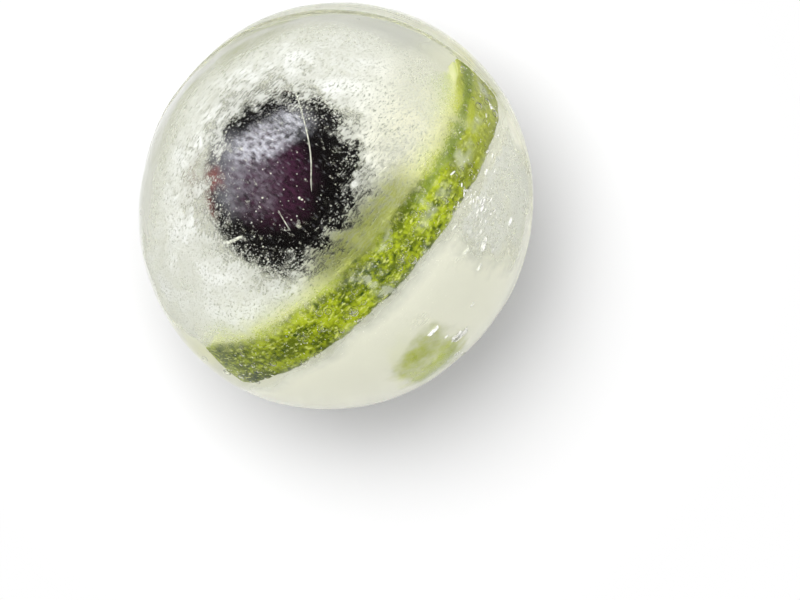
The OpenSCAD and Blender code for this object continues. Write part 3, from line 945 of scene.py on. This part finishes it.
class ICEBALL_OT_stage(bpy.types.Operator):
    """Make the white floor, the soft light and the camera that looks straight down"""

    bl_idname = "ice_ball.stage"
    bl_label = "Set the stage"

    def execute(self, context):
        stage = context.scene.stage
        self.make_floor(context)
        self.make_world(context, stage)
        self.make_lamps(context, stage)
        self.make_camera(context, stage)
        context.scene.view_settings.view_transform = "Standard"
        return {"FINISHED"}

    def make_floor(self, context):
        """A large level board a hair below the ball, which glows white where seen far off or through ice."""
        corners = [(x * FLOOR_REACH, y * FLOOR_REACH, -FLOOR_DROP)
                   for x, y in ((-1, -1), (1, -1), (1, 1), (-1, 1))]
        mesh = bpy.data.meshes.new("floor")
        mesh.from_pydata(corners, [], [(0, 1, 2, 3)])
        material, tree = new_material("Matt white board")
        rays = add(tree, "LightPath").outputs
        spot = add(tree, "TexCoord").outputs["Object"]
        away = add(tree, "VectorMath", LENGTH, [spot])
        far = add(tree, "MapRange", SMOOTH, [away, 34 * MM, 76 * MM, 0.02])
        seen = add(tree, "Math", TIMES, [rays["Is Camera Ray"], far])
        behind = add(tree, "Math", TIMES, [rays["Is Transmission Ray"], 0.8])
        share = add(tree, "Math", LARGER, [seen, behind])
        level = add(tree, "MapRange", {}, [rays["Is Camera Ray"], 0, 1, THROUGH_ICE])
        matt = add(tree, "BsdfDiffuse", {}, {"Color": rgba((0.9, 0.9, 0.9))})
        glow = add(tree, "Emission", {}, {"Color": rgba((1, 1, 1)), "Strength": level})
        mixed = add(tree, "MixShader", {}, [share, matt, glow])
        add(tree, "OutputMaterial", {}, {"Surface": mixed})
        mesh.materials.append(material)
        floor = bpy.data.objects.new("floor", mesh)
        context.scene.collection.objects.link(floor)

    def make_world(self, context, stage):
        """Even light all round, and plain white where the camera, a gloss or the ice looks at it."""
        world = bpy.data.worlds.new("Soft room")
        world.use_nodes = True
        tree = world.node_tree
        tree.nodes.clear()
        rays = add(tree, "LightPath").outputs
        seen = add(tree, "MapRange", {}, [rays["Is Camera Ray"], 0, 1, stage.fill, 1.0])
        inside = add(tree, "MapRange", {}, [rays["Is Transmission Ray"], 0, 1, stage.fill, THROUGH_ICE])
        strength = add(tree, "Math", LARGER, [seen, inside])
        even = add(tree, "Background", {}, {"Color": rgba((1, 1, 1)), "Strength": strength})
        add(tree, "OutputWorld", {}, {"Surface": even})
        context.scene.world = world

    def make_lamps(self, context, stage):
        """A soft lamp at the upper left, a low card there that glints in ice, and a weak lamp opposite."""
        soft = (stage.key_size, stage.key_size)
        lamps = (("key_lamp", stage.key_power, soft, stage.key_rise, stage.lamp_heading),
                 ("glint_card", stage.card_power, CARD_SIZE, stage.card_rise, stage.lamp_heading),
                 ("side_lamp", stage.side_power, soft, stage.side_rise, stage.side_heading))
        for name, power, size, rise, heading in lamps:
            lamp = bpy.data.lights.new(name, "AREA")
            lamp.shape, lamp.energy = "RECTANGLE", power
            lamp.size, lamp.size_y = size
            holder = bpy.data.objects.new(name, lamp)
            level = math.cos(rise)
            toward = np.array([level * math.cos(heading), level * math.sin(heading), math.sin(rise)])
            holder.location = ball_middle() + toward * stage.lamp_distance
            holder.rotation_euler = Euler((math.pi / 2 - rise, 0, heading + math.pi / 2))
            holder.visible_glossy = name == "glint_card"
            holder.visible_diffuse = name != "glint_card"
            holder.visible_transmission = False
            context.scene.collection.objects.link(holder)

    def make_camera(self, context, stage):
        """A long lens high above the ball, looking straight down with +Y up in the picture."""
        lens = bpy.data.cameras.new("camera")
        lens.lens = lens.sensor_width * stage.camera_height / stage.view_width
        camera = bpy.data.objects.new("camera", lens)
        camera.location = (stage.camera_x, stage.camera_y, ball_middle()[2] + stage.camera_height)
        context.scene.collection.objects.link(camera)
        context.scene.camera = camera


# Rows from pole to pole and columns of the grape's skin, and length and height of its ripples
GRAPE_ROWS = 92
GRAPE_COLUMNS = 128
GRAPE_WAVES = ((18 * MM, 0.10 * MM), (8 * MM, 0.04 * MM))


def grape_turn(grape):
    """Rotation that lays the grape's upright stalk axis along its heading, with the stalk end lifted."""
    return turned(y=math.pi / 2 - grape.lift, z=grape.heading)


def grape_half(grape):
    """Half widths of the upright grape."""
    return np.array([grape.width, grape.width, grape.width + grape.stretch]) / 2


class ICEBALL_OT_grape(bpy.types.Operator):
    """Freeze the dark grape in: its skin with the stalk hollow, over its flesh and pips"""

    bl_idname = "ice_ball.grape"
    bl_label = "Freeze the grape in"

    def execute(self, context):
        grape = context.scene.grape
        skin = closed_skin(self.skin_rings(grape))
        material = grape_skin_material()
        piece = make_piece("grape_skin_bloomed", skin, [material], ["grape_skin"])
        wall = piece.modifiers.new("Skin thickness", "SOLIDIFY")
        wall.thickness = grape.skin
        wall.offset = -1
        insides = (("grape_flesh", grape_flesh_material()), ("grape_pips", grape_pip_material()))
        for node, material in insides:
            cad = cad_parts[node]
            cad.data.materials.clear()
            cad.data.materials.append(material)
        return {"FINISHED"}

    def skin_rings(self, grape):
        """Rings of an oval about the stalk's axis: polar angle by azimuth, with slow ripples.

        The hollow at the stalk is a bell of its depth and radius, taken off the height.
        """
        directions = polar_grid(np.linspace(0, math.pi, GRAPE_ROWS)[1:-1], GRAPE_COLUMNS)
        draws = np.random.default_rng(SEED + 1)
        radius = grape.width / 2
        points = directions * grape_half(grape)
        points *= 1 + (ripple(directions, radius, GRAPE_WAVES, draws) / radius)[..., None]
        out = np.hypot(points[..., 0], points[..., 1])
        bell = np.exp(-(out / grape.hollow_radius) ** 2)
        points[..., 2] -= grape.hollow_depth * bell * (points[..., 2] > 0)
        return points @ grape_turn(grape).T + ball_middle() + np.array(grape.place)


class ICEBALL_OT_lime_strip(bpy.types.Operator):
    """Freeze the curved strip of lime in: rind, pith, membranes and the parts of the segments it crosses"""

    bl_idname = "ice_ball.lime_strip"
    bl_label = "Freeze the lime strip in"

    def execute(self, context):
        lime = context.scene.lime
        lime_r, pith_r, flesh_r = lime_radii(lime)
        flesh_layer = (flesh_r - lime.strip_flesh, flesh_r)
        place = strip_place(lime)
        draws = np.random.default_rng(SEED + 2)
        width, sweep = lime.strip_width, lime.strip_sweep
        start = (math.pi - sweep) / 2
        wall = lime.membrane / (flesh_r - lime.strip_flesh / 2)
        segment = (sweep - (lime.segments - 1) * wall) / lime.segments
        pith_material = lime_pith_material("Spongy lime pith", "#e6eb98")
        for name, node, layer, cut, material in (
                ("lime_rind_waxy", "lime_rind", (pith_r, lime_r), RIND_CUT, lime_rind_material()),
                ("lime_pith_spongy", "lime_pith", (flesh_r, pith_r), PITH_CUT, pith_material)):
            skin, places = slice_skin(lime, layer, width, start, sweep, cut, draws, place)
            make_piece(name, skin, [material], [node], places)
        flesh_material = lime_flesh_material()
        for i in range(lime.segments):
            begin = start + i * (segment + wall)
            skin, places = slice_skin(lime, flesh_layer, width, begin, segment, SEGMENT_CUT, draws, place)
            node = f"lime_segment_{i + 1}"
            make_piece(f"{node}_juicy", skin, [flesh_material], [node], places)
        walls = []
        for i in range(1, lime.segments):
            begin = start + i * (segment + wall) - wall
            walls.append(slice_skin(lime, flesh_layer, width, begin, wall, MEMBRANE_CUT, draws, place))
        joined = join_skins([skin for skin, places in walls])
        places = np.vstack([places for skin, places in walls])
        material = lime_pith_material("Thin lime membrane", "#dfe5a4")
        make_piece("lime_membranes_thin", joined, [material], ["lime_membranes"], places)
        return {"FINISHED"}


class ICEBALL_OT_lime_chip(bpy.types.Operator):
    """Freeze the small chip of lime in, low at the ball's wall"""

    bl_idname = "ice_ball.lime_chip"
    bl_label = "Freeze the lime chip in"

    def execute(self, context):
        lime = context.scene.lime
        lime_r, pith_r, flesh_r = lime_radii(lime)
        sweep = lime.chip_length / lime_r
        draws = np.random.default_rng(SEED + 3)
        spin = turned(z=lime.chip_heading)
        rotation = spin @ turned(y=lime.chip_tip - math.pi / 2) @ turned(x=lime.chip_turn)
        middle = ball_middle() + spin @ np.array([lime.chip_reach, 0, 0]) - np.array([0, 0, lime.chip_drop])
        place = (rotation, middle + rotation @ np.array([-lime_r, 0, 0]))
        layers = (("chip_rind", "lime_rind", (pith_r, lime_r), "Waxy lime rind"),
                  ("chip_pith", "lime_pith", (flesh_r, pith_r), "Spongy lime pith"),
                  ("chip_flesh", "lime_flesh", (flesh_r - lime.chip_flesh, flesh_r), "Wet lime juice sacs"))
        for node, slot, layer, material in layers:
            skin, places = slice_skin(lime, layer, lime.chip_width, -sweep / 2, sweep, CHIP_CUT, draws,
                                      place)
            make_piece(f"{node}_frozen", skin, [bpy.data.materials[material]], [node], places)
        return {"FINISHED"}


# Radius of most bubbles, its spread, and the least and largest
BUBBLE_RADIUS = 0.17 * MM
BUBBLE_SPREAD = 0.5
BUBBLE_LIMITS = (0.07 * MM, 0.5 * MM)
# How much larger the bubbles on the lime grew, with their least and largest radius
LIME_GROWTH = 1.6
LIME_LIMITS = (0.1 * MM, 0.6 * MM)
# The largest on the strip: how many, least and largest radius, and middle and spread of their place on it
LARGE_BUBBLES = 34
LARGE_RADII = (0.4 * MM, 0.7 * MM)
LARGE_PLACE = (0.56, 0.1)
# Ice at the rim that holds no bubbles
BARE_RIM = 1.5 * MM


class ICEBALL_OT_ice(bpy.types.Operator):
    """Make the ball of ice with its seam, its melted flat and the air bubbles frozen into it"""

    bl_idname = "ice_ball.ice"
    bl_label = "Make the ice"

    def execute(self, context):
        ice = context.scene.ice
        shell = closed_skin(ball_rings(ice))
        bubbles = bubble_skins(*self.scatter(context, ice))
        skin = join_skins([shell, bubbles])
        kinds = np.concatenate([np.zeros(len(shell[1]), np.int32), np.ones(len(bubbles[1]), np.int32)])
        make_piece("ice_ball_frosted", skin, [clear_ice(), bubble_wall()], ["ice_ball"],
                   face_materials=kinds)
        return {"FINISHED"}

    def scatter(self, context, ice):
        """Drawn places and radii of the bubbles: some on the fruit's skin, the rest in the open ice."""
        draws = np.random.default_rng(SEED + 4)
        grape, lime = context.scene.grape, context.scene.lime
        on_lime = ice.fruit_bubbles * 3 // 5
        on_grape = ice.fruit_bubbles - on_lime
        count = ice.fruit_bubbles + ice.free_bubbles
        radii = np.clip(draws.lognormal(math.log(BUBBLE_RADIUS), BUBBLE_SPREAD, count), *BUBBLE_LIMITS)
        radii[:on_lime] = np.clip(LIME_GROWTH * radii[:on_lime], *LIME_LIMITS)
        radii[:LARGE_BUBBLES] = draws.uniform(*LARGE_RADII, LARGE_BUBBLES)
        along = draws.uniform(0, 1, on_lime)
        along[:LARGE_BUBBLES] = draws.normal(*LARGE_PLACE, LARGE_BUBBLES)
        arc = on_strip(lime, along, draws.uniform(-0.5, 0.5, on_lime), radii[:on_lime])
        half = np.array([grape.width, grape.width + grape.stretch, grape.width]) / 2
        out = half + radii[on_lime:ice.fruit_bubbles, None]
        round_grape = drawn_ways(draws, on_grape) * out + np.array(grape.place) + ball_middle()
        way = drawn_ways(draws, ice.free_bubbles)
        depth = draws.uniform(0.2, 1, ice.free_bubbles)[:, None] ** 0.5
        free = way * depth * (ice.width / 2 - BARE_RIM) + ball_middle()
        return np.vstack([arc, round_grape, free]), radii


# Reach of the cloudy core from the ball's middle
CORE_REACH = 20 * MM
# Specks in one piece of the cloud
SPECKS_EACH = 22000
# Radius of most specks in the core, under the skin and on the rind, its spread, and the least and largest
CORE_SPECK, SKIN_SPECK, RIND_SPECK = 0.12 * MM, 0.08 * MM, 0.1 * MM
SPECK_SPREAD = 0.4
SPECK_LIMITS = (0.05 * MM, 0.3 * MM)
# Height from the ball's middle above which specks are fine, and their largest usual radius there
FINE_HEIGHT, FINE_SPECK = 5 * MM, 0.075 * MM
# Length in millimetres and height of the waves along which specks gather in clumps
CORE_CLUMPS = ((14, 0.5), (6, 0.4), (3, 0.3))
SKIN_CLUMPS = ((10, 0.5), (4, 0.5), (2, 0.4))
RIND_CLUMPS = ((7, 0.5), (2.5, 0.5))
# Least and largest depth of the specks under the skin, and height of those over the rind
SKIN_DEPTHS = (0.5 * MM, 3.5 * MM)
RIND_LIFTS = (0.05 * MM, 0.6 * MM)
# How far out from the grape's middle no speck lies, as a share of its size
GRAPE_CLEAR = 1.02


def in_zone(way, zone):
    """Share from 0 to 1 by which directions lie in a zone of the skin."""
    direction, faded, full = zone[:3]
    low, high = (math.cos(math.radians(angle)) for angle in (faded, full))
    return smooth_step(way @ np.array(direction), low, high)


class ICEBALL_OT_cloud(bpy.types.Operator):
    """Freeze the fine white air specks in that make the ball's core cloudy"""

    bl_idname = "ice_ball.cloud"
    bl_label = "Cloud the core"

    def execute(self, context):
        ice = context.scene.ice
        draws = np.random.default_rng(SEED + 5)
        material = air_speck()
        groups = ((self.core_places(context, ice, draws), CORE_SPECK),
                  (self.skin_places(context, ice, draws), SKIN_SPECK),
                  (self.rind_places(context, ice, draws), RIND_SPECK))
        places = np.vstack([group for group, radius in groups])
        usual = np.concatenate([np.full(len(group), radius) for group, radius in groups])
        usual = np.where(places[:, 2] > FINE_HEIGHT, np.minimum(usual, FINE_SPECK), usual)
        radii = np.clip(usual * draws.lognormal(0, SPECK_SPREAD, len(usual)), *SPECK_LIMITS)
        order = draws.permutation(len(places))
        for i, share in enumerate(np.array_split(order, math.ceil(len(order) / SPECKS_EACH))):
            skin = speck_skin(places[share] + ball_middle(), radii[share], draws)
            make_piece(f"cloud_specks_{i + 1}", skin, [material], ["cloudy_core"])
        return {"FINISHED"}

    def core_places(self, context, ice, draws):
        """Drawn places of the specks from the ball's middle.

        Places drawn evenly in the ball are kept with a chance that is full in the core below the fruit's
        tops, thin above them, least in the clear window and none in the clear rim, and that rises and falls
        in drawn clumps.
        """
        tries = 6 * ice.specks
        way = drawn_ways(draws, tries)
        out = (CORE_REACH + 2 * MM) * draws.uniform(0, 1, tries)[:, None] ** (1 / 3)
        places = way * out
        low = smooth_step(places[:, 2], 9 * MM, -1 * MM)
        inner = smooth_step(out[:, 0], CORE_REACH + 1.5 * MM, CORE_REACH - 2.5 * MM)
        clump = 0.5 + 0.5 * ripple(places / MM, 1.0, CORE_CLUMPS, draws)
        thin = 0.03 * (1 - 0.8 * in_zone(way, WINDOW))
        chance = inner * np.clip(clump, 0.12, 1) * (thin + 0.97 * low)
        kept = (draws.uniform(0, 1, tries) < chance) & self.outside_fruit(places, context)
        return places[kept][:ice.specks]

    def outside_fruit(self, places, context):
        """Which places, counted from the ball's middle, lie clear of the grape and of the lime strip."""
        grape, lime = context.scene.grape, context.scene.lime
        local = (places - np.array(grape.place)) @ grape_turn(grape) / grape_half(grape)
        off_grape = np.linalg.norm(local, axis=1) > GRAPE_CLEAR
        rotation, shift = strip_place(lime)
        local = (places + ball_middle() - shift) @ rotation
        out = np.hypot(local[:, 0], local[:, 1])
        lime_r, pith_r, flesh_r = lime_radii(lime)
        in_layers = (out > flesh_r - lime.strip_flesh) & (out < lime_r)
        in_strip = in_layers & (np.abs(local[:, 2]) < lime.strip_width / 2) & (local[:, 1] > 0)
        return off_grape & ~in_strip

    def rind_places(self, context, ice, draws):
        """Drawn places of the specks that cling to the strip's rind, in clumps along and across it."""
        tries = 4 * ice.rind_specks
        along, across = draws.uniform(0, 1, tries), draws.uniform(-0.5, 0.5, tries)
        lift = draws.uniform(*RIND_LIFTS, tries)
        places = on_strip(context.scene.lime, along, across, lift) - ball_middle()
        clump = 0.4 + 0.6 * ripple(places / MM, 1.0, RIND_CLUMPS, draws)
        return places[draws.uniform(0, 1, tries) < clump][:ice.rind_specks]

    def skin_places(self, context, ice, draws):
        """Drawn places of the specks just under the skin, in the frost and thickest round the grape."""
        tries = 12 * ice.skin_specks
        way = drawn_ways(draws, tries)
        places = way * (oval_radius(way, ice) - draws.uniform(*SKIN_DEPTHS, tries))[:, None]
        clump = 0.5 + 0.5 * ripple(places / MM, 1.0, SKIN_CLUMPS, draws)
        frost = np.maximum(in_zone(way, FROST_TOP), in_zone(way, FROST_SIDE))
        outline = np.linalg.norm((places - GRAPE_SEEN[0]) / GRAPE_SEEN[1], axis=1)
        thinner = 1 - 0.6 * smooth_step(outline, 1.1, 1.5)
        ring = smooth_step(outline, 0.6, 0.95) * thinner * (places[:, 2] > 0)
        strip_side = strip_place(context.scene.lime)[0][:, 2]
        off_strip = smooth_step(places @ strip_side, 0, -4 * MM)
        chance = frost * np.clip(clump, 0, 1) * (0.12 + 0.88 * ring) * (0.1 + 0.9 * off_strip)
        return places[draws.uniform(0, 1, tries) < chance][:ice.skin_specks]


# Cracks over the grape: points in millimetres from the ball's middle, width across and upright
CRACKS = (
    (((-6.6, 20.0, 20.6), (-5.5, 16.2, 23.4), (-3.8, 10.0, 26.6), (-3.2, 5.4, 28.0), (-3.1, 1.5, 28.2)),
     0.2, 0.8),
    (((-8.0, -1.2, 27.6), (-7.1, -2.8, 27.6), (-6.2, -4.2, 27.6)), 0.14, 0.6),
    (((-16.6, -6.3, 22.6), (-14.8, -5.6, 23.8), (-13.2, -4.9, 24.8)), 0.5, 0.5),
)
# Clusters of small flakes: middle and spread across and along in millimetres, and how many
FLAKES = (((21.6, 0.7), (1.0, 0.6), 26), ((21.4, -3.0), (2.2, 4.6), 40), ((22.8, 8.0), (1.0, 2.4), 12),
          ((17.6, -19.4), (1.6, 0.5), 9), ((18.6, -23.0), (1.0, 0.4), 6))
# Roll that tips the flakes to the light and how much it strays, and how far their heading strays
FLAKE_ROLL = (math.radians(28), math.radians(14))
FLAKE_STRAY = 0.35
# Half length of most flakes, its spread, the least and largest, their width as a share and their thickness
FLAKE_HALF = 0.45 * MM
FLAKE_SPREAD = 0.5
FLAKE_LIMITS = (0.2 * MM, 1.5 * MM)
FLAKE_WIDTH = 0.4
FLAKE_THICKNESS = 0.12 * MM
# Least height at which a flake lies above the ball's middle
FLAKE_LEAST_RISE = 4 * MM
# Rows along a crack and a flake, and columns round both
CRACK_ROWS = 60
FLAKE_ROWS = 12
RIBBON_COLUMNS = 12


class ICEBALL_OT_cracks(bpy.types.Operator):
    """Add the hairline cracks over the grape and the white flakes in the frost beyond the lime"""

    bl_idname = "ice_ball.cracks"
    bl_label = "Add hairline cracks"

    def execute(self, context):
        skins = []
        for track, across, upright in CRACKS:
            rings = self.ribbon_rings(np.array(track) * MM, across * MM, upright * MM, 0, CRACK_ROWS)
            skins.append(closed_skin(rings))
        draws = np.random.default_rng(SEED + 6)
        for track in self.flake_tracks(context, draws):
            across = FLAKE_WIDTH * np.linalg.norm(track[2] - track[0])
            roll = draws.normal(*FLAKE_ROLL)
            skins.append(closed_skin(self.ribbon_rings(track, across, FLAKE_THICKNESS, roll, FLAKE_ROWS)))
        make_piece("hairline_cracks", join_skins(skins), [crack_wall()])
        return {"FINISHED"}

    def flake_tracks(self, context, draws):
        """Drawn tracks of three points in the ball's skin, about as the strip heads, in clusters."""
        ice, lime = context.scene.ice, context.scene.lime
        clusters = [draws.normal(middle, spread, (count, 2)) for middle, spread, count in FLAKES]
        middles = np.vstack(clusters) * MM
        rise = (ice.width / 2) ** 2 - (middles ** 2).sum(1, keepdims=True)
        height = np.sqrt(np.maximum(rise, FLAKE_LEAST_RISE ** 2))
        way = unit(np.hstack([middles, height]))[:, None]
        heading = lime.strip_heading + draws.normal(0, FLAKE_STRAY, (len(way), 1))
        ahead = np.stack([np.cos(heading), np.sin(heading), 0 * heading], -1)
        ahead -= (ahead * way).sum(-1, keepdims=True) * way
        half = np.clip(draws.lognormal(math.log(FLAKE_HALF), FLAKE_SPREAD, (len(way), 1, 1)), *FLAKE_LIMITS)
        points = unit(way * ice.width / 2 + ahead * half * np.array([-1, 0, 1])[:, None])
        return points * oval_radius(points, ice)[..., None]

    def ribbon_rings(self, track, across, upright, roll, rows):
        """A thin flat oval carried along a smooth curve through the track, rolled, pointed at both ends."""
        knots = np.linspace(0, 1, len(track))
        steps = np.linspace(0, 1, rows)
        fits = [np.polyfit(knots, axis, len(track) - 1) for axis in track.T]
        curve = np.stack([np.polyval(fit, steps) for fit in fits], -1)
        ahead = unit(np.gradient(curve, axis=0))
        side = unit(np.cross(ahead, [0, 0, 1.0]))
        up = np.cross(side, ahead)
        taper = np.sqrt(np.maximum(1 - (2 * steps - 1) ** 6, 0.01))[:, None, None]
        round_way = np.linspace(0, 2 * math.pi, RIBBON_COLUMNS, endpoint=False)[None, :, None]
        side, up = math.cos(roll) * side + math.sin(roll) * up, math.cos(roll) * up - math.sin(roll) * side
        level = np.cos(round_way) * side[:, None] * across / 2
        section = level + np.sin(round_way) * up[:, None] * upright / 2
        return curve[:, None] + section * taper + ball_middle()


class ICEBALL_PT_panel(bpy.types.Panel):
    """Lists the steps and the sizes"""

    bl_idname = "ICEBALL_PT_panel"
    bl_label = "Ice Ball"
    bl_space_type = "VIEW_3D"
    bl_region_type = "UI"
    bl_category = "Ice Ball"

    def draw(self, context):
        for operator in OPERATORS:
            self.layout.operator(operator.bl_idname)
        for group, settings in GROUPS.items():
            box = self.layout.box()
            box.label(text=group.capitalize())
            for name in settings.__annotations__:
                box.prop(getattr(context.scene, group), name)


GROUPS = {"ice": IceSettings, "grape": GrapeSettings, "lime": LimeSettings, "stage": StageSettings}
OPERATORS = (ICEBALL_OT_stage, ICEBALL_OT_grape, ICEBALL_OT_lime_strip, ICEBALL_OT_lime_chip,
             ICEBALL_OT_ice, ICEBALL_OT_cloud, ICEBALL_OT_cracks)


def register():
    for cls in (*GROUPS.values(), *OPERATORS, ICEBALL_PT_panel):
        bpy.utils.register_class(cls)
    for name, settings in GROUPS.items():
        setattr(bpy.types.Scene, name, PointerProperty(type=settings))


def unregister():
    for name in GROUPS:
        delattr(bpy.types.Scene, name)
    for cls in (ICEBALL_PT_panel, *reversed(OPERATORS), *reversed(GROUPS.values())):
        bpy.utils.unregister_class(cls)


def main():
    register()
    bpy.ops.ice_ball.stage()
    bpy.ops.ice_ball.grape()
    bpy.ops.ice_ball.lime_strip()
    bpy.ops.ice_ball.lime_chip()
    bpy.ops.ice_ball.ice()
    bpy.ops.ice_ball.cloud()
    bpy.ops.ice_ball.cracks()


if __name__ == "__main__":
    main()
